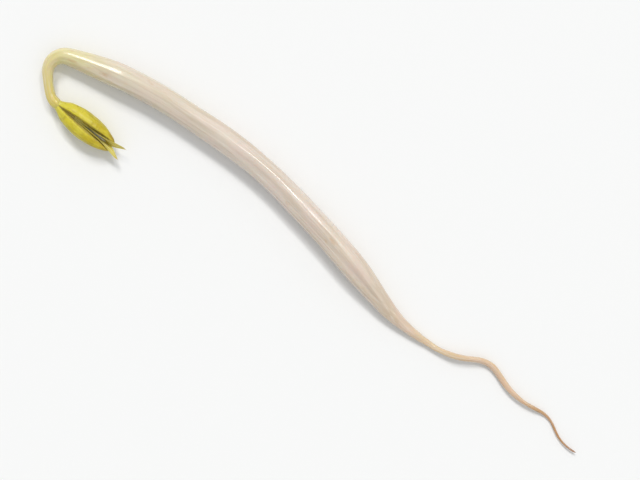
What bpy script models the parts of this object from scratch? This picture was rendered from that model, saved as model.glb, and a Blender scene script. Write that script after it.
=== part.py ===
"""Mung bean sprout lying on a surface: the grown axis of root, stem and hooked neck,
two seed leaves (cotyledons) and the first two leaves, folded between them.

Metres, +Z up. The origin is under the middle of the sprout's box, on the surface it lies on.
+X runs from the hook towards the root tip, and the hook's cotyledons lie on the -Y side.
"""

import math

import bmesh
import bpy
import numpy as np
from mathutils import Vector

MM = 0.001

# The axis, followed from the cotyledons' base through the neck, hook and stem to the root tip.
# Each stretch is (length in mm, turn in degrees, rings); a positive turn is anticlockwise from above.
START_HEADING = 172.0
CROOK = ((2.1, -40, 5), (1.9, -8, 3), (5.6, -114, 14))
STEM = ((18.0, -13, 11), (20.0, -14, 11), (15.0, -5, 9))
COLLAR = ((9.0, 18, 9),)
ROOT = ((7.0, 27, 10), (4.5, -50, 8), (7.0, 30, 10), (3.5, -40, 7), (4.5, 36, 8))

# The axis's radii in mm. The neck widens through the hook, and the stem is full TAPER_ABOVE past it.
NECK_RADIUS = 0.7
HOOK_RADIUS = 1.2
STEM_RADIUS = 1.95
ROOT_RADIUS = 0.55
ROOT_TIP_RADIUS = 0.16
TAPER_ABOVE = 7.5
STEM_SIDES = 16
FLATTENING = 0.95
NECK_HEIGHT = 1.65
ROOT_LIFT = 0.35

# The cotyledons and the first leaves come in pairs, one on each side of the pair's middle, which
# each stands off by offset and leans away from by spread, in degrees. The rest is in mm.
COTYLEDON = {"length": 9.0, "height": 3.3, "thickness": 1.2, "offset": 0.25, "spread": 4.0, "arch": 0.35}
LEAF = {"length": 8.4, "height": 1.9, "thickness": 0.2, "offset": 0.16, "spread": 2.0, "arch": 0.0}
BLADE_STATIONS = 18
BLADE_SIDES = 16
INNER_BULGE = 0.1
LEAF_START = 2.4
GAP = 0.3


def smoothstep(value, low, high):
    """0 below low, 1 above high, and a smooth rise between them."""
    share = np.clip((value - low) / (high - low), 0.0, 1.0)
    return share * share * (3 - 2 * share)


def bend_share(share):
    """The share of a stretch's turn that is done at a share of its length: gentle at both ends."""
    ease = 0.25
    if share < ease:
        done = share * share / (2 * ease)
    elif share > 1 - ease:
        done = 1 - ease - (1 - share) ** 2 / (2 * ease)
    else:
        done = share - ease / 2
    return done / (1 - ease)


def length_of(stretches):
    return sum(length for length, _, _ in stretches)


def axis_samples():
    """(distances in mm from the cotyledons' base, headings in radians) of the axis's rings."""
    distances = [0.0]
    headings = [math.radians(START_HEADING)]
    start = 0.0
    heading = headings[0]
    for length, turn, rings in (*CROOK, *STEM, *COLLAR, *ROOT):
        for ring in range(1, rings + 1):
            share = ring / rings
            distances.append(start + length * share)
            headings.append(heading + math.radians(turn) * bend_share(share))
        start += length
        heading += math.radians(turn)
    return np.array(distances), np.array(headings)


def axis_radii(distances):
    """The axis's radii in mm, from the thin neck to the full stem and down to the root tip."""
    hook_end = length_of(CROOK)
    collar_start = hook_end + length_of(STEM)
    root_start = collar_start + length_of(COLLAR)
    neck = NECK_RADIUS + (HOOK_RADIUS - NECK_RADIUS) * smoothstep(distances, 0.3 * hook_end, hook_end)
    stem = neck + (STEM_RADIUS - neck) * smoothstep(distances, 0.7 * hook_end, hook_end + TAPER_ABOVE)
    tip = smoothstep(distances, root_start + 0.3 * length_of(ROOT), distances[-1])
    root = ROOT_RADIUS + (ROOT_TIP_RADIUS - ROOT_RADIUS) * tip
    return stem + (root - stem) * smoothstep(distances, collar_start - 7, root_start + 2)


def axis_points(distances, headings, radii):
    """The centreline in mm, starting over the origin: in plan from the headings, and resting on
    the surface at its own radius.

    The thin neck keeps the height of the stem and cotyledons that it joins, and the root rises a
    little between the places where it touches."""
    steps = np.diff(distances)
    middle = (headings[1:] + headings[:-1]) / 2
    x = np.concatenate([[0], np.cumsum(np.cos(middle) * steps)])
    y = np.concatenate([[0], np.cumsum(np.sin(middle) * steps)])
    hook_end = length_of(CROOK)
    along_root = np.clip((distances - distances[-1]) / length_of(ROOT) + 1, 0, 1)
    z = radii * FLATTENING + ROOT_LIFT * np.sin(2.5 * math.pi * along_root) ** 2
    z += (NECK_HEIGHT - z) * (1 - smoothstep(distances, hook_end, hook_end + TAPER_ABOVE))
    return np.stack([x, y, z], axis=1)


def add_object(name, rings, material, sprout):
    """A closed, smooth-shaded object in metres from rings of points in mm, under the sprout."""
    made = bmesh.new()
    rows = [[made.verts.new(Vector(point) * MM) for point in ring] for ring in rings]
    for first, second in zip(rows, rows[1:]):
        for i in range(len(first)):
            j = (i + 1) % len(first)
            made.faces.new((first[i], first[j], second[j], second[i]))
    for row in (rows[0], rows[-1]):
        centre = made.verts.new(sum((vert.co for vert in row), Vector()) / len(row))
        for i in range(len(row)):
            made.faces.new((row[i], row[(i + 1) % len(row)], centre))
    bmesh.ops.recalc_face_normals(made, faces=made.faces)
    mesh = bpy.data.meshes.new(name)
    made.to_mesh(mesh)
    made.free()
    mesh.shade_smooth()
    mesh.materials.append(material)
    thing = bpy.data.objects.new(name, mesh)
    bpy.context.scene.collection.objects.link(thing)
    thing.parent = sprout
    return thing


def make_axis(points, headings, radii, material, sprout):
    """The root, stem and hooked neck, grown as one piece. Its origin is under the cotyledons' base."""
    rings = []
    for centre, heading, radius in zip(points, headings, radii):
        side = Vector((-math.sin(heading), math.cos(heading), 0))
        up = Vector((0, 0, FLATTENING))
        ring = []
        for i in range(STEM_SIDES):
            angle = 2 * math.pi * i / STEM_SIDES
            ring.append(Vector(centre) + (side * math.cos(angle) + up * math.sin(angle)) * radius)
        rings.append(ring)
    return add_object("stem_with_root", rings, material, sprout)


def make_blade(name, base, heading, side, blade, profile, material, sprout):
    """A cotyledon or leaf that grows from base along heading, almost flat towards its partner.

    side is 1 for the one next to the stem and -1 for the outer one. profile(share) gives the
    height and thickness along it, as shares of the greatest."""
    rings = []
    for station in range(BLADE_STATIONS + 1):
        share = 0.5 - 0.5 * math.cos(math.pi * (0.04 + 0.92 * station / BLADE_STATIONS))
        tall, thick = profile(share)
        arch = blade["arch"] * math.sin(math.pi * share)
        ring = []
        for i in range(BLADE_SIDES):
            angle = 2 * math.pi * i / BLADE_SIDES
            bulge = math.cos(angle) * (1 if math.cos(angle) > 0 else INNER_BULGE)
            out = arch + bulge * blade["thickness"] * thick
            ring.append((blade["length"] * share, side * out, math.sin(angle) * blade["height"] / 2 * tall))
        rings.append(ring)
    thing = add_object(name, rings, material, sprout)
    across = Vector((-math.sin(heading), math.cos(heading), 0))
    thing.location = (base + across * side * blade["offset"]) * MM
    thing.rotation_euler.z = heading + side * math.radians(blade["spread"])
    return thing


def cotyledon_profile(share):
    """Half a bean: a narrow base, widest past its middle, and a blunt tip."""
    body = math.sin(math.pi * share**0.86) ** 0.62
    return body * (0.66 + 0.34 * math.sin(math.pi * share / 1.2)), body


def leaf_profile(share):
    """A folded leaf: a short stalk, a lance-shaped blade and a pointed tip."""
    blade = smoothstep(share, 0.12, 0.5) * (1 - smoothstep(share, 0.62, 1.02))
    least = 0.24 if share < 0.6 else 0.12
    return least + (1 - least) * blade, 0.55 + 0.45 * blade


def plant_material(name, colour, roughness, subsurface):
    """A Principled BSDF for moist plant tissue."""
    material = bpy.data.materials.new(name)
    material.use_nodes = True
    shader = material.node_tree.nodes["Principled BSDF"]
    shader.inputs["Base Color"].default_value = (*colour, 1)
    shader.inputs["Roughness"].default_value = roughness
    shader.inputs["Metallic"].default_value = 0
    shader.inputs["Subsurface Weight"].default_value = subsurface
    shader.inputs["Subsurface Scale"].default_value = MM
    return material


def centre_on_origin(sprout):
    """Moves the sprout's empty so that the origin is under the middle of all its pieces."""
    bpy.context.view_layer.update()
    corners = [piece.matrix_world @ vert.co for piece in sprout.children for vert in piece.data.vertices]
    for axis in (0, 1):
        values = [corner[axis] for corner in corners]
        sprout.location[axis] = -(min(values) + max(values)) / 2
    sprout.location.z = -min(corner.z for corner in corners)


def main():
    for thing in list(bpy.data.objects):
        bpy.data.objects.remove(thing)
    sprout = bpy.data.objects.new("sprout", None)
    bpy.context.scene.collection.objects.link(sprout)

    stem_tissue = plant_material("stem_tissue", (0.78, 0.69, 0.58), 0.36, 0.4)
    cotyledon_tissue = plant_material("cotyledon_tissue", (0.62, 0.43, 0.04), 0.42, 0.2)
    leaf_tissue = plant_material("leaf_tissue", (0.72, 0.62, 0.14), 0.5, 0.2)

    distances, headings = axis_samples()
    radii = axis_radii(distances)
    points = axis_points(distances, headings, radii)
    make_axis(points, headings, radii, stem_tissue, sprout)

    growth = headings[0] + math.pi
    forward = Vector((math.cos(growth), math.sin(growth), 0))
    cotyledon_base = Vector(points[0]) + forward * GAP
    leaf_base = cotyledon_base + forward * LEAF_START
    pairs = (
        ("cotyledon", cotyledon_base, COTYLEDON, cotyledon_profile, cotyledon_tissue),
        ("first_leaf", leaf_base, LEAF, leaf_profile, leaf_tissue),
    )
    for name, base, blade, profile, material in pairs:
        make_blade(f"{name}_inner", base, growth, 1, blade, profile, material, sprout)
        make_blade(f"{name}_outer", base, growth, -1, blade, profile, material, sprout)
    centre_on_origin(sprout)


main()
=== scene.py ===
"""The looks of a mung bean sprout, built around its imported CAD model.

Pieces are shaped in mm, in the plan that the CAD axis follows, and become objects in metres."""

import math

import bpy
import numpy as np
from mathutils import Matrix, Vector, noise


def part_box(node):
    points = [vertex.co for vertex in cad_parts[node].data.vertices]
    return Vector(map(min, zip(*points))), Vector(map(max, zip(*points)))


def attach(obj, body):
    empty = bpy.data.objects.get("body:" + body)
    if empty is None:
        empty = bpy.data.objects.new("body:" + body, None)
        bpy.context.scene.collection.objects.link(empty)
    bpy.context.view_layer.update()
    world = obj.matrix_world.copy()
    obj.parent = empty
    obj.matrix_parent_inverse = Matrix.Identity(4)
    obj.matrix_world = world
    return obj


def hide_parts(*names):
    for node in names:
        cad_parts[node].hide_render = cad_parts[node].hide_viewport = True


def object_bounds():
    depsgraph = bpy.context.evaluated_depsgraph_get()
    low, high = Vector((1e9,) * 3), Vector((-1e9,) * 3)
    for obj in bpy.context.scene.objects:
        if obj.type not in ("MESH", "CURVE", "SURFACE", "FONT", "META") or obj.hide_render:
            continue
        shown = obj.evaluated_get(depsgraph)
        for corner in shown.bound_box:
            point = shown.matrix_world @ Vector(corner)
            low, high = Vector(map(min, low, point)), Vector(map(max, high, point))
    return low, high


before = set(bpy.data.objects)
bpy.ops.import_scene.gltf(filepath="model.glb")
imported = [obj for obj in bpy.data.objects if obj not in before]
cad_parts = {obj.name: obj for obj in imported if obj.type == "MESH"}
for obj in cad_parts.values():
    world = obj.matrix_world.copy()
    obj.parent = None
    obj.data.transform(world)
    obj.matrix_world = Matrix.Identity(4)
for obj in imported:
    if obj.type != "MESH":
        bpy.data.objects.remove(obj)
CAD_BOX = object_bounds()
MM = 0.001

# The CAD axis, from the cotyledons' base to the root tip: (length in mm, turn in degrees).
START_HEADING = 172.0
CROOK = ((2.1, -40), (1.9, -8), (5.6, -114))
STEM = ((18.0, -13), (20.0, -14), (15.0, -5))
COLLAR = ((9.0, 18),)
ROOT = ((7.0, 27), (4.5, -50), (7.0, 30), (3.5, -40), (4.5, 36))
HOOK_END = sum(length for length, _ in CROOK)
COLLAR_START = HOOK_END + sum(length for length, _ in STEM)
ROOT_START = COLLAR_START + sum(length for length, _ in COLLAR)
ROOT_LENGTH = sum(length for length, _ in ROOT)
TOTAL = ROOT_START + ROOT_LENGTH

# The axis's radii and heights in mm, as in the CAD model.
NECK_RADIUS = 0.7
HOOK_RADIUS = 1.2
STEM_RADIUS = 1.95
ROOT_RADIUS = 0.55
ROOT_TIP_RADIUS = 0.16
TAPER_ABOVE = 7.5
FLATTENING = 0.95
NECK_HEIGHT = 1.65
ROOT_LIFT = 0.35

# The fine mesh of the axis, in mm. Before the cotyledons' base it runs on as the thin shoot that
# carries the first leaves. SHOOT_THINNING and NODE_SWELLING are shares of the neck's radius.
SHOOT_LENGTH = 2.9
SHOOT_THINNING = 0.66
NODE_SWELLING = 0.14
RING_STEP = 0.2
RING_SIDES = 120

# The axis's relief. Depths are shares of the radius, and places and lengths along it are in mm.
# LOBES make its section uneven: (number round it, depth, distance between changes, seed).
LOBES = ((2, 0.05, 21, 1), (3, 0.04, 15, 2), (5, 0.028, 11, 3), (8, 0.012, 8, 4))
# NARROWINGS come and go along it: (depth, distance between changes, seed).
NARROWINGS = ((0.03, 6.5, 11), (0.018, 2.3, 12))
# GROOVES run along the stem: (start, end, place round it in degrees, width in degrees, depth).
# 90 degrees is on top.
GROOVES = (
    (16, 41, 48, 15, 0.085),
    (34, 68, 118, 20, 0.075),
    (20, 58, 196, 18, 0.07),
    (24, 70, 338, 18, 0.08),
    (50, 74, 44, 14, 0.07),
)
GROOVE_FADE = 7
FIBRES = 23
FIBRE_DEPTH = 0.006
WRINKLE_SPACING = 0.62
WRINKLE_DEPTH = 0.05
PIT_DEPTH = 0.008
KNOB_DEPTH = 0.12
ROOT_RING_SPACING = 0.55
ROOT_RING_DEPTH = 0.035
ROOT_FLATNESS = 0.14

# The pairs of cotyledons and first leaves, in mm and degrees. A mesh is (stations along the blade,
# points round it). GAP and LEAF_START place the pairs' bases, as in the CAD model.
PAIR_OFFSET = 0.05
COTYLEDON_LENGTH = 9.0
COTYLEDON_HEIGHT = 3.3
COTYLEDON_THICKNESS = 1.6
COTYLEDON_SPREAD = 3.2
COTYLEDON_ARCH = 0.08
COTYLEDON_MESH = (90, 72)
FURROW_DEPTH = 0.1
LEAF_LENGTH = 8.4
LEAF_HEIGHT = 1.9
LEAF_THICKNESS = 0.13
LEAF_SPREAD = 2.4
LEAF_CURL = 0.42
LEAF_CUP = 0.14
LEAF_TWIST = 43.0
LEAF_MESH = (80, 64)
LEAF_START = 2.4
GAP = 0.3

# The stage, in metres and degrees. A sun is (name, where its light goes, how wide it looks,
# strength, colour).
FLOOR_REACH = 1.5
SUNS = (
    ("key", (0.5, -0.62, -0.9), 18, 1.35, (1, 0.99, 0.975)),
    ("gleam", (-0.08, -0.6, -1.0), 8, 0.55, (1, 1, 1)),
    ("fill", (-0.7, 0.3, -0.8), 60, 0.25, (0.95, 0.98, 1)),
)
SKY_COLOUR = (0.97, 0.985, 1, 1)
SKY_STRENGTH = 0.56
CAMERA_LENS = 85
CAMERA_HEIGHT = 0.206
CAMERA_ROLL = 30

# Where a Mix node keeps its sockets for colours. Its other kinds' sockets have the same names.
MIX_SHARE, MIX_FIRST, MIX_SECOND, MIX_RESULT = 0, 6, 7, 2


# Numbers along and round a piece


def smoothstep(value, low, high):
    """0 below low, 1 above high, and a smooth rise between them."""
    share = np.clip((value - low) / (high - low), 0.0, 1.0)
    return share * share * (3 - 2 * share)


def plateau(value, low, risen, falling, high):
    """0 below low and above high and 1 from risen to falling, with smooth slopes between them."""
    return smoothstep(value, low, risen) * (1 - smoothstep(value, falling, high))


def bell(apart, width):
    """1 where apart is 0, and falling on both sides, to about a third at width from there."""
    return np.exp(-((apart / width) ** 2))


def lifted(value):
    """A value from -1 to 1 as a share from 0 to 1."""
    return 0.5 + 0.5 * value


def wander(values, period, seed):
    """Smooth random variation from -1 to 1 along values, with a new value each period."""
    count, first_used = 512, 64
    knots = np.random.default_rng(seed).uniform(-1, 1, count)
    place = values / period + first_used
    before = np.floor(place).astype(int)
    share = smoothstep(place - before, 0, 1)
    return knots[before % count] * (1 - share) + knots[(before + 1) % count] * share


def perlin(grid, scale, seed):
    """Perlin noise from about -1 to 1 at each point of a grid, whose axes are scaled first."""
    seed_shift = 7.3
    flat = grid.reshape(-1, 3) * scale + seed * seed_shift
    return np.array([noise.noise(Vector(point)) for point in flat]).reshape(grid.shape[:-1])


def round_angles(sides):
    """Evenly spaced angles round a ring, in radians, as a row."""
    return (np.arange(sides) * 2 * math.pi / sides)[None, :]


def grid_of(x, y, z):
    """A grid of points. Each coordinate is a column along the grid, a row round it, or both."""
    return np.stack(np.broadcast_arrays(x, y, z), axis=2)


# The axis


def bend_share(share):
    """The share of a stretch's turn that is done at a share of its length: gentle at both ends."""
    ease = 0.25
    rising = share * share / (2 * ease)
    falling = 1 - ease - (1 - share) ** 2 / (2 * ease)
    done = np.where(share < ease, rising, np.where(share > 1 - ease, falling, share - ease / 2))
    return done / (1 - ease)


def axis_headings(distances):
    """The axis's heading in radians at each distance. It is straight before the cotyledons' base."""
    headings = np.full(len(distances), math.radians(START_HEADING))
    start = 0.0
    for length, turn in (*CROOK, *STEM, *COLLAR, *ROOT):
        share = np.clip((distances - start) / length, 0, 1)
        headings += math.radians(turn) * bend_share(share)
        start += length
    return headings


def axis_radii(distances):
    """The axis's radii in mm, from the thin neck to the full stem and down to the root tip."""
    neck = NECK_RADIUS + (HOOK_RADIUS - NECK_RADIUS) * smoothstep(distances, 0.3 * HOOK_END, HOOK_END)
    stem = neck + (STEM_RADIUS - neck) * smoothstep(distances, 0.7 * HOOK_END, HOOK_END + TAPER_ABOVE)
    tip = smoothstep(distances, ROOT_START + 0.3 * ROOT_LENGTH, TOTAL)
    root = ROOT_RADIUS + (ROOT_TIP_RADIUS - ROOT_RADIUS) * tip
    return stem + (root - stem) * smoothstep(distances, COLLAR_START - 7, ROOT_START + 2)


def axis_points(distances, headings, radii):
    """The centreline in mm, with the cotyledons' base over the origin."""
    steps = np.diff(distances)
    middle = (headings[1:] + headings[:-1]) / 2
    x = np.concatenate([[0], np.cumsum(np.cos(middle) * steps)])
    y = np.concatenate([[0], np.cumsum(np.sin(middle) * steps)])
    x -= np.interp(0, distances, x)
    y -= np.interp(0, distances, y)
    along_root = np.clip((distances - ROOT_START) / ROOT_LENGTH, 0, 1)
    z = radii * FLATTENING + ROOT_LIFT * np.sin(2.5 * math.pi * along_root) ** 2
    z += (NECK_HEIGHT - z) * (1 - smoothstep(distances, HOOK_END, HOOK_END + TAPER_ABOVE))
    return np.stack([x, y, z], axis=1)


def axis_middle():
    """The middle in plan of the axis's own box in mm, with the cotyledons' base over the origin."""
    distances = np.arange(0, TOTAL + RING_STEP / 2, RING_STEP)
    headings = axis_headings(distances)
    radii = axis_radii(distances)
    centres = axis_points(distances, headings, radii)[:, :2]
    reach = np.stack([np.abs(np.sin(headings)), np.abs(np.cos(headings))], axis=1) * radii[:, None]
    return ((centres - reach).min(axis=0) + (centres + reach).max(axis=0)) / 2


# Materials


def linear(red, green, blue):
    """A colour seen on screen, from 0 to 255, as the shader's linear values with alpha."""
    shares = np.array([red, green, blue]) / 255
    values = np.where(shares <= 0.04045, shares / 12.92, ((shares + 0.055) / 1.055) ** 2.4)
    return (*values.tolist(), 1.0)


class Look:
    """A Principled material that is built node by node."""

    def __init__(self, name, **shader):
        self.material = bpy.data.materials.new(name)
        self.material.use_nodes = True
        self.nodes = self.material.node_tree.nodes
        self.link = self.material.node_tree.links.new
        self.shader = self.nodes["Principled BSDF"]
        for key, value in shader.items():
            self.shader.inputs[key.replace("_", " ")].default_value = value

    def attribute(self, name, output="Fac"):
        node = self.nodes.new("ShaderNodeAttribute")
        node.attribute_name = name
        return node.outputs[output]

    def stretch(self, vector, scale):
        """vector with each of its axes scaled."""
        node = self.nodes.new("ShaderNodeVectorMath")
        node.operation = "MULTIPLY"
        self.link(vector, node.inputs[0])
        node.inputs[1].default_value = scale
        return node.outputs[0]

    def noise(self, vector, detail, low, high, scale=1.0):
        """Noise over vector, as a share that runs from 0 at low to 1 at high."""
        node = self.nodes.new("ShaderNodeTexNoise")
        self.link(vector, node.inputs["Vector"])
        node.inputs["Scale"].default_value = scale
        node.inputs["Detail"].default_value = detail
        return self.remap(node.outputs["Fac"], low, high, 0.0, 1.0)

    def remap(self, value, low, high, to_low, to_high):
        """value's run from low to high turned into a smooth one from to_low to to_high."""
        node = self.nodes.new("ShaderNodeMapRange")
        node.interpolation_type = "SMOOTHSTEP"
        self.link(value, node.inputs["Value"])
        node.inputs["From Min"].default_value = low
        node.inputs["From Max"].default_value = high
        node.inputs["To Min"].default_value = to_low
        node.inputs["To Max"].default_value = to_high
        return node.outputs["Result"]

    def ramp(self, value, stops):
        """A colour ramp over value, with stops of (place, colour)."""
        node = self.nodes.new("ShaderNodeValToRGB")
        self.link(value, node.inputs["Fac"])
        node.color_ramp.interpolation = "EASE"
        elements = node.color_ramp.elements
        while len(elements) < len(stops):
            elements.new(0.5)
        for element, (place, tone) in zip(elements, stops):
            element.position = place
            element.color = linear(*tone)
        return node.outputs["Color"]

    def tint(self, colour, tone, share, strength, mode="MIX"):
        """colour blended with tone, by strength where share is 1 and not at all where it is 0."""
        amount = self.nodes.new("ShaderNodeMath")
        amount.operation = "MULTIPLY"
        self.link(share, amount.inputs[0])
        amount.inputs[1].default_value = strength
        node = self.nodes.new("ShaderNodeMix")
        node.data_type = "RGBA"
        node.blend_type = mode
        self.link(amount.outputs[0], node.inputs[MIX_SHARE])
        self.link(colour, node.inputs[MIX_FIRST])
        node.inputs[MIX_SECOND].default_value = linear(*tone)
        return node.outputs[MIX_RESULT]

    def bump(self, height, distance, strength, under=None):
        """The normal over a height, on top of the bump under it, if there is one."""
        node = self.nodes.new("ShaderNodeBump")
        node.inputs["Strength"].default_value = strength
        node.inputs["Distance"].default_value = distance
        self.link(height, node.inputs["Height"])
        if under is not None:
            self.link(under, node.inputs["Normal"])
        return node.outputs["Normal"]

    def finish(self, colour, roughness, normal):
        self.link(colour, self.shader.inputs["Base Color"])
        self.link(roughness, self.shader.inputs["Roughness"])
        self.link(normal, self.shader.inputs["Normal"])
        return self.material


def stem_material():
    """Cream stem tissue that yellows at the neck and turns tan towards the root tip, with fibres,
    paler threads, pinker patches and a few tan bruises."""
    look = Look(
        "stem_tissue",
        Subsurface_Weight=0.4,
        Subsurface_Radius=(1.0, 0.7, 0.52),
        Subsurface_Scale=1.2 * MM,
        Coat_Weight=0.7,
        Coat_Roughness=0.17,
        IOR=1.4,
    )
    grain = look.attribute("grain", "Vector")
    stops = (
        (0.0, (214, 198, 96)),
        (0.05, (222, 212, 138)),
        (HOOK_END / TOTAL, (220, 212, 163)),
        ((HOOK_END + TAPER_ABOVE) / TOTAL, (217, 208, 185)),
        (0.42, (218, 206, 192)),
        (COLLAR_START / TOTAL, (216, 202, 183)),
        (ROOT_START / TOTAL, (216, 194, 160)),
        (0.87, (208, 178, 138)),
        (0.975, (182, 140, 96)),
        (1.0, (140, 98, 60)),
    )
    colour = look.ramp(look.attribute("along"), stops)
    fibres = look.noise(look.stretch(grain, (2.1, 2.1, 0.1)), detail=4, low=0.38, high=0.62)
    colour = look.tint(colour, (226, 217, 205), fibres, 0.5, "MULTIPLY")
    threads = look.noise(look.stretch(grain, (4.5, 4.5, 0.16)), detail=3, low=0.56, high=0.7)
    colour = look.tint(colour, (240, 235, 226), threads, 0.3)
    patches = look.noise(look.stretch(grain, (0.5, 0.5, 0.16)), detail=3, low=0.4, high=0.62)
    colour = look.tint(colour, (222, 199, 192), patches, 0.3)
    bruises = look.noise(look.stretch(grain, (0.9, 0.9, 0.35)), detail=5, low=0.62, high=0.74)
    colour = look.tint(colour, (196, 156, 110), bruises, 0.4)
    roughness = look.remap(fibres, 0.0, 1.0, 0.27, 0.42)
    cells = look.noise(look.stretch(grain, (7.0, 7.0, 2.4)), detail=2, low=0.3, high=0.7)
    normal = look.bump(cells, 0.02 * MM, 0.5)
    normal = look.bump(fibres, 0.06 * MM, 0.5, normal)
    return look.finish(colour, roughness, normal)


def cotyledon_material():
    """Golden-yellow seed-leaf tissue with veins that fan out from its base, paler at the base and
    on the inner face and browner at the tip."""
    look = Look(
        "cotyledon_tissue",
        Subsurface_Weight=0.22,
        Subsurface_Radius=(1.0, 0.7, 0.15),
        Subsurface_Scale=0.7 * MM,
        Coat_Weight=0.2,
        Coat_Roughness=0.28,
        IOR=1.4,
    )
    grain = look.attribute("grain", "Vector")
    stops = (
        (0.0, (218, 208, 116)),
        (0.14, (208, 197, 50)),
        (0.42, (196, 181, 24)),
        (0.8, (192, 170, 22)),
        (0.95, (180, 148, 36)),
        (1.0, (146, 110, 48)),
    )
    colour = look.ramp(look.attribute("along"), stops)
    mottle = look.noise(look.stretch(grain, (0.5, 1.0, 1.0)), detail=5, low=0.38, high=0.64)
    colour = look.tint(colour, (219, 205, 56), mottle, 0.55)
    shade = look.noise(look.stretch(grain, (0.9, 1.8, 1.8)), detail=4, low=0.5, high=0.72)
    colour = look.tint(colour, (158, 136, 30), shade, 0.5)
    veins = look.noise(look.attribute("veins", "Vector"), detail=2, low=0.44, high=0.6)
    colour = look.tint(colour, (224, 212, 84), veins, 0.35)
    colour = look.tint(colour, (228, 214, 128), look.attribute("inner"), 0.6)
    spots = look.noise(grain, detail=3, low=0.66, high=0.74, scale=2.6)
    colour = look.tint(colour, (140, 100, 44), spots, 0.6)
    roughness = look.remap(mottle, 0.0, 1.0, 0.34, 0.5)
    cells = look.noise(grain, detail=3, low=0.3, high=0.7, scale=7.0)
    normal = look.bump(cells, 0.03 * MM, 0.6)
    normal = look.bump(veins, 0.06 * MM, 0.7, normal)
    return look.finish(colour, roughness, normal)


def leaf_material():
    """Pale yellow leaf with a light midrib, light side veins and a browner tip."""
    look = Look(
        "leaf_tissue",
        Subsurface_Weight=0.25,
        Subsurface_Radius=(1.0, 0.8, 0.25),
        Subsurface_Scale=0.3 * MM,
        Coat_Weight=0.15,
        Coat_Roughness=0.3,
        IOR=1.4,
    )
    stops = (
        (0.0, (230, 224, 160)),
        (0.3, (222, 212, 124)),
        (0.85, (216, 202, 100)),
        (1.0, (190, 164, 78)),
    )
    colour = look.ramp(look.attribute("along"), stops)
    grain = look.attribute("grain", "Vector")
    mottle = look.noise(grain, detail=4, low=0.4, high=0.62, scale=1.6)
    colour = look.tint(colour, (204, 194, 96), mottle, 0.4)
    ribs = look.attribute("ribs")
    colour = look.tint(colour, (240, 232, 176), ribs, 0.7)
    roughness = look.remap(mottle, 0.0, 1.0, 0.4, 0.55)
    normal = look.bump(ribs, 0.05 * MM, 0.7)
    return look.finish(colour, roughness, normal)


def floor_material():
    """A plain white matt board."""
    return Look("floor_board", Base_Color=linear(241, 241, 240), Roughness=0.8).material


# Pieces


def skin(name, grid, attributes):
    """A closed object over a grid of rings of points in mm, with its float attributes per point.

    Each attribute is an array over the grid, or of vectors over it. The ends are closed by a fan
    round each end ring's middle."""
    rings, sides = grid.shape[:2]
    ends = np.array([grid[0].mean(axis=0), grid[-1].mean(axis=0)])
    points = np.concatenate([grid.reshape(-1, 3), ends]) * MM
    faces = []
    for ring in range(rings - 1):
        for i in range(sides):
            j = (i + 1) % sides
            a = ring * sides
            faces.append((a + i, a + j, a + sides + j, a + sides + i))
    last = (rings - 1) * sides
    for i in range(sides):
        j = (i + 1) % sides
        faces.append((j, i, rings * sides))
        faces.append((last + i, last + j, rings * sides + 1))
    mesh = bpy.data.meshes.new(name)
    mesh.from_pydata(points.tolist(), [], faces)
    for key, values in attributes.items():
        vector = values.ndim == 3
        made = mesh.attributes.new(key, "FLOAT_VECTOR" if vector else "FLOAT", "POINT")
        tail = np.array([values[0].mean(axis=0), values[-1].mean(axis=0)])
        flat = np.concatenate([values.reshape(rings * sides, -1), tail.reshape(2, -1)])
        made.data.foreach_set("vector" if vector else "value", flat.astype(np.float32).ravel())
    mesh.shade_smooth()
    thing = bpy.data.objects.new(name, mesh)
    bpy.context.scene.collection.objects.link(thing)
    return thing


def stem_relief(s, a):
    """How far the stem's surface lies inside its round CAD shape, as a share of the radius.

    Here and below, s is a column of distances along the axis and a is a row of angles round it."""
    full = plateau(s, HOOK_END - 3, HOOK_END + 8, ROOT_START - 3, ROOT_START + 6)
    relief = np.zeros((s.size, a.size))
    for lobes, depth, period, seed in LOBES:
        drift = 1.6 * wander(s, period, seed)
        relief += depth * lifted(np.cos(lobes * a + drift + seed)) * (0.35 + 0.65 * full)
    for depth, period, seed in NARROWINGS:
        relief += depth * lifted(wander(s, period, seed))
    fibres = lifted(np.cos(FIBRES * a + 3.5 * wander(s, 9, 13)))
    relief += FIBRE_DEPTH * fibres * full * lifted(wander(s + 3 * np.cos(a), 5, 14))
    for start, end, place, width, depth in GROOVES:
        middle = math.radians(place) + 0.18 * wander(s, 10, place)
        apart = np.angle(np.exp(1j * (a - middle)))
        reach = plateau(s, start, start + GROOVE_FADE, end - GROOVE_FADE, end)
        relief += depth * bell(apart, math.radians(width)) * reach
    return relief


def hook_relief(s, a):
    """Wrinkles across the inner side of the hook, as a share of its radius."""
    inner_side = np.clip(-np.cos(a), 0, 1) ** 1.5
    hook = plateau(s, 5.5, 7.5, HOOK_END - 0.5, HOOK_END + 2.5)
    wrinkles = lifted(np.cos(2 * math.pi * s / WRINKLE_SPACING + 2 * wander(s, 1.1, 15)))
    return WRINKLE_DEPTH * inner_side * hook * wrinkles


def root_relief(s, a):
    """The root's own knobs, fine rings and flatter sides, as a share of its radius."""
    root = smoothstep(s, COLLAR_START + 2, ROOT_START + 3)
    knobs = lifted(wander(s + 0.35 * np.cos(a), 1.3, 21))
    rings = lifted(np.cos(2 * math.pi * s / ROOT_RING_SPACING + 3 * wander(s, 1.7, 22)))
    flats = lifted(np.cos(2 * a + 2.5 * wander(s, 5, 23)))
    return root * (KNOB_DEPTH * knobs + ROOT_RING_DEPTH * rings + ROOT_FLATNESS * flats)


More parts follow.
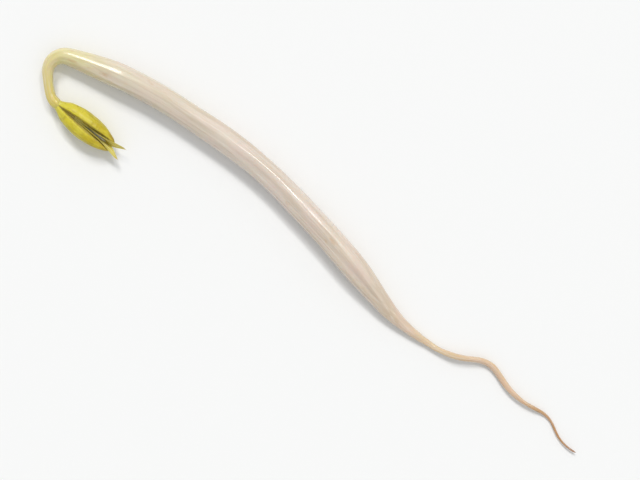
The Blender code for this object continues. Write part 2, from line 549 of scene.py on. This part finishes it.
def make_stem(plan):
    """The root, stem and hooked neck as one fine mesh, with the shoot between the cotyledons."""
    distances = np.arange(-SHOOT_LENGTH, TOTAL + RING_STEP / 2, RING_STEP)
    headings = axis_headings(distances)
    radii = axis_radii(distances)
    centres = axis_points(distances, headings, radii) + plan
    s, heading, radius = distances[:, None], headings[:, None], radii[:, None]
    a = round_angles(RING_SIDES)
    straight = grid_of(np.cos(a) * radius, np.sin(a) * radius, s)
    relief = stem_relief(s, a) + hook_relief(s, a) + root_relief(s, a)
    relief += PIT_DEPTH * lifted(perlin(straight, (1.4, 1.4, 0.7), 1))
    shoot = SHOOT_THINNING * (1 - smoothstep(s, -1.7, 0.3))
    swelling = NODE_SWELLING * bell(s - 0.5, 0.7)
    tip = 0.9 * smoothstep(s, TOTAL - 0.45, TOTAL + 0.15) ** 2
    size = radius * (1 - relief) * (1 - shoot + swelling) * (1 - tip)
    sideways, upwards = np.cos(a) * size, np.sin(a) * size * FLATTENING
    ring = grid_of(-np.sin(heading) * sideways, np.cos(heading) * sideways, upwards)
    along = np.broadcast_to(np.clip(s / TOTAL, 0, 1), size.shape)
    return skin("sprout_stem", centres[:, None, :] + ring, {"grain": straight, "along": along})


def place_blade(name, grid, attributes, base, heading, side, spread):
    """A cotyledon or leaf over its own grid, in which x runs along it and y away from its partner.

    It grows from base along heading. side is 1 for the one next to the stem and -1 for the outer
    one, which is mirrored, so its faces are turned right side out."""
    across = Vector((-math.sin(heading), math.cos(heading), 0))
    start = Vector(base) + across * side * PAIR_OFFSET
    turn = Matrix.Rotation(heading + side * math.radians(spread), 3, "Z") @ Matrix.Diagonal((1, side, 1))
    thing = skin(name, grid @ np.array(turn).T + np.array(start), attributes)
    if side < 0:
        thing.data.flip_normals()
    return thing


def make_cotyledon(name, base, heading, side):
    """Half a bean, sprung from the neck: round outside, nearly flat inside, with uneven rims.

    u is the share of its length, and a goes round it, with 0 outside."""
    stations, sides = COTYLEDON_MESH
    u = (0.5 - 0.5 * np.cos(np.linspace(0.03, 1, stations) ** 0.9 * math.pi))[:, None]
    u = np.clip(u, 0, 0.9995)
    a = round_angles(sides)
    seed = 5 if side > 0 else 9
    half_height = COTYLEDON_HEIGHT / 2
    body = np.sin(math.pi * u**0.86) ** 0.62
    rise = smoothstep(u, 0.0, 0.2)
    tall = (0.66 + 0.34 * np.sin(math.pi * u / 1.2)) * body * rise + 0.36 * (1 - rise)
    thick = body * rise + 0.42 * (1 - rise)
    rim = 0.035 * wander(u * 9, 0.55, seed) + 0.02 * wander(u * 9, 0.21, seed + 1)
    outside, inside = np.clip(np.cos(a), 0, 1), np.clip(-np.cos(a), 0, 1)
    hollow = 0.08 * np.sin(a) ** 2 * inside - 0.05 * inside
    furrow = FURROW_DEPTH * bell(np.sin(a) - 0.12, 0.2) * outside * plateau(u, 0.12, 0.4, 0.7, 0.97)
    bulge = outside**0.9 + hollow * rise - furrow
    x = COTYLEDON_LENGTH * u - 0.9 * (1 - u) ** 3
    y = COTYLEDON_ARCH * np.sin(math.pi * u) + bulge * COTYLEDON_THICKNESS * thick
    z = np.sin(a) * half_height * tall * (1 + rim)
    mirrored = grid_of(x, y * side, z)
    y = y + 0.05 * perlin(mirrored, (0.9, 1.4, 1.4), seed) * rise
    y = y + 0.015 * perlin(mirrored, (3.5, 5.0, 5.0), seed + 2) * rise
    lean = 0.2 * rise * (z / half_height) * (0.3 + 0.7 * u)
    grid = grid_of(x, y + lean, z)
    attributes = {
        "grain": grid + seed,
        "along": np.broadcast_to(u, z.shape),
        "veins": grid_of(0.35 * x, 7 * z / (half_height * tall), 3 * np.sign(np.cos(a))),
        "inner": np.broadcast_to(smoothstep(-np.cos(a), 0.05, 0.5), z.shape),
    }
    return place_blade(name, grid, attributes, base, heading, side, COTYLEDON_SPREAD)


def make_leaf(name, base, heading, side):
    """A first leaf: a short stalk and a cupped blade with a midrib, whose tip twists and curls away.

    u is the share of its length, and a goes round it, with 0 outside."""
    stations, sides = LEAF_MESH
    u = np.linspace(0.0, 1, stations)[:, None]
    a = round_angles(sides)
    seed = 31 if side > 0 else 37
    blade = smoothstep(u, 0.1, 0.5) * (1 - smoothstep(u, 0.6, 1.0) ** 1.2)
    tall = (0.16 + 0.84 * blade) * (1 - 0.96 * smoothstep(u, 0.93, 1.0))
    across = np.sin(a)
    ruffle = 0.06 * wander(u * 8, 0.7, seed) * across**2 * np.sign(across)
    z = across * LEAF_HEIGHT / 2 * tall * (1 + ruffle)
    midrib = bell(across, 0.1)
    waves = lifted(np.cos(2 * math.pi * (u * 11 - 2.2 * np.abs(across))))
    side_veins = smoothstep(waves, 0.72, 1.0) * (1 - midrib) * blade
    thin = LEAF_THICKNESS * (0.4 + 0.6 * (1 - blade)) + 0.05 * midrib + 0.015 * side_veins
    thin = thin * (1 - 0.88 * smoothstep(u, 0.68, 1.0))
    waviness = 0.03 * wander(u * 8 + across, 0.9, seed + 1)
    y = np.cos(a) * thin + (waviness - LEAF_CUP * across**2) * blade
    twist = math.radians(LEAF_TWIST) * smoothstep(u, 0.45, 1.0)
    curl = LEAF_CURL * smoothstep(u, 0.66, 1.0) ** 1.5 + 0.05
    turned_y = curl + y * np.cos(twist) + z * np.sin(twist)
    turned_z = z * np.cos(twist) - y * np.sin(twist)
    grid = grid_of(LEAF_LENGTH * u, turned_y, turned_z)
    attributes = {
        "grain": grid + seed,
        "along": np.broadcast_to(u, z.shape),
        "ribs": np.clip(midrib + 0.5 * side_veins, 0, 1),
    }
    return place_blade(name, grid, attributes, base, heading, side, LEAF_SPREAD)


def finish_piece(thing, material, node):
    """Gives a piece its material and its part in the CAD model."""
    thing.data.materials.append(material)
    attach(thing, "root")
    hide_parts(node)


def make_sprout():
    """All the pieces. The axis's box shares its middle with that of the CAD stem and root."""
    low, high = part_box("stem_with_root")
    middle = np.array((low + high) / 2 / MM)
    plan = np.array([*(middle[:2] - axis_middle()), 0.0])
    finish_piece(make_stem(plan), stem_material(), "stem_with_root")
    heading = math.radians(START_HEADING + 180)
    forward = np.array([math.cos(heading), math.sin(heading), 0])
    base = plan + np.array([0, 0, NECK_HEIGHT]) + forward * GAP
    yellow, pale = cotyledon_material(), leaf_material()
    for word, side in (("inner", 1), ("outer", -1)):
        cotyledon = make_cotyledon(f"seed_leaf_{word}", base, heading, side)
        finish_piece(cotyledon, yellow, f"cotyledon_{word}")
        leaf = make_leaf(f"young_leaf_{word}", base + forward * LEAF_START, heading, side)
        finish_piece(leaf, pale, f"first_leaf_{word}")


# Stage


def make_floor():
    reach = FLOOR_REACH
    corners = [(-reach, -reach, 0), (reach, -reach, 0), (reach, reach, 0), (-reach, reach, 0)]
    mesh = bpy.data.meshes.new("floor")
    mesh.from_pydata(corners, [], [(0, 1, 2, 3)])
    mesh.materials.append(floor_material())
    floor = bpy.data.objects.new("floor", mesh)
    bpy.context.scene.collection.objects.link(floor)


def make_sun(name, towards, width, strength, colour):
    light = bpy.data.lights.new(name, "SUN")
    light.angle = math.radians(width)
    light.energy = strength
    light.color = colour
    thing = bpy.data.objects.new(name, light)
    thing.rotation_euler = Vector(towards).to_track_quat("-Z", "Y").to_euler()
    bpy.context.scene.collection.objects.link(thing)


def make_sky():
    world = bpy.data.worlds.new("studio")
    world.use_nodes = True
    background = world.node_tree.nodes["Background"]
    background.inputs["Color"].default_value = SKY_COLOUR
    background.inputs["Strength"].default_value = SKY_STRENGTH
    bpy.context.scene.world = world


def make_camera():
    """Straight above the sprout, turned so that the stem falls to the right as in its bag."""
    camera = bpy.data.cameras.new("camera")
    camera.lens = CAMERA_LENS
    camera.clip_start = 0.01
    thing = bpy.data.objects.new("camera", camera)
    low, high = CAD_BOX
    middle = (low + high) / 2
    thing.location = (middle.x, middle.y, CAMERA_HEIGHT)
    thing.rotation_euler = (0, 0, math.radians(CAMERA_ROLL))
    bpy.context.scene.collection.objects.link(thing)
    bpy.context.scene.camera = thing


make_sprout()
make_floor()
for sun in SUNS:
    make_sun(*sun)
make_sky()
make_camera()
bpy.context.scene.view_settings.view_transform = "Standard"
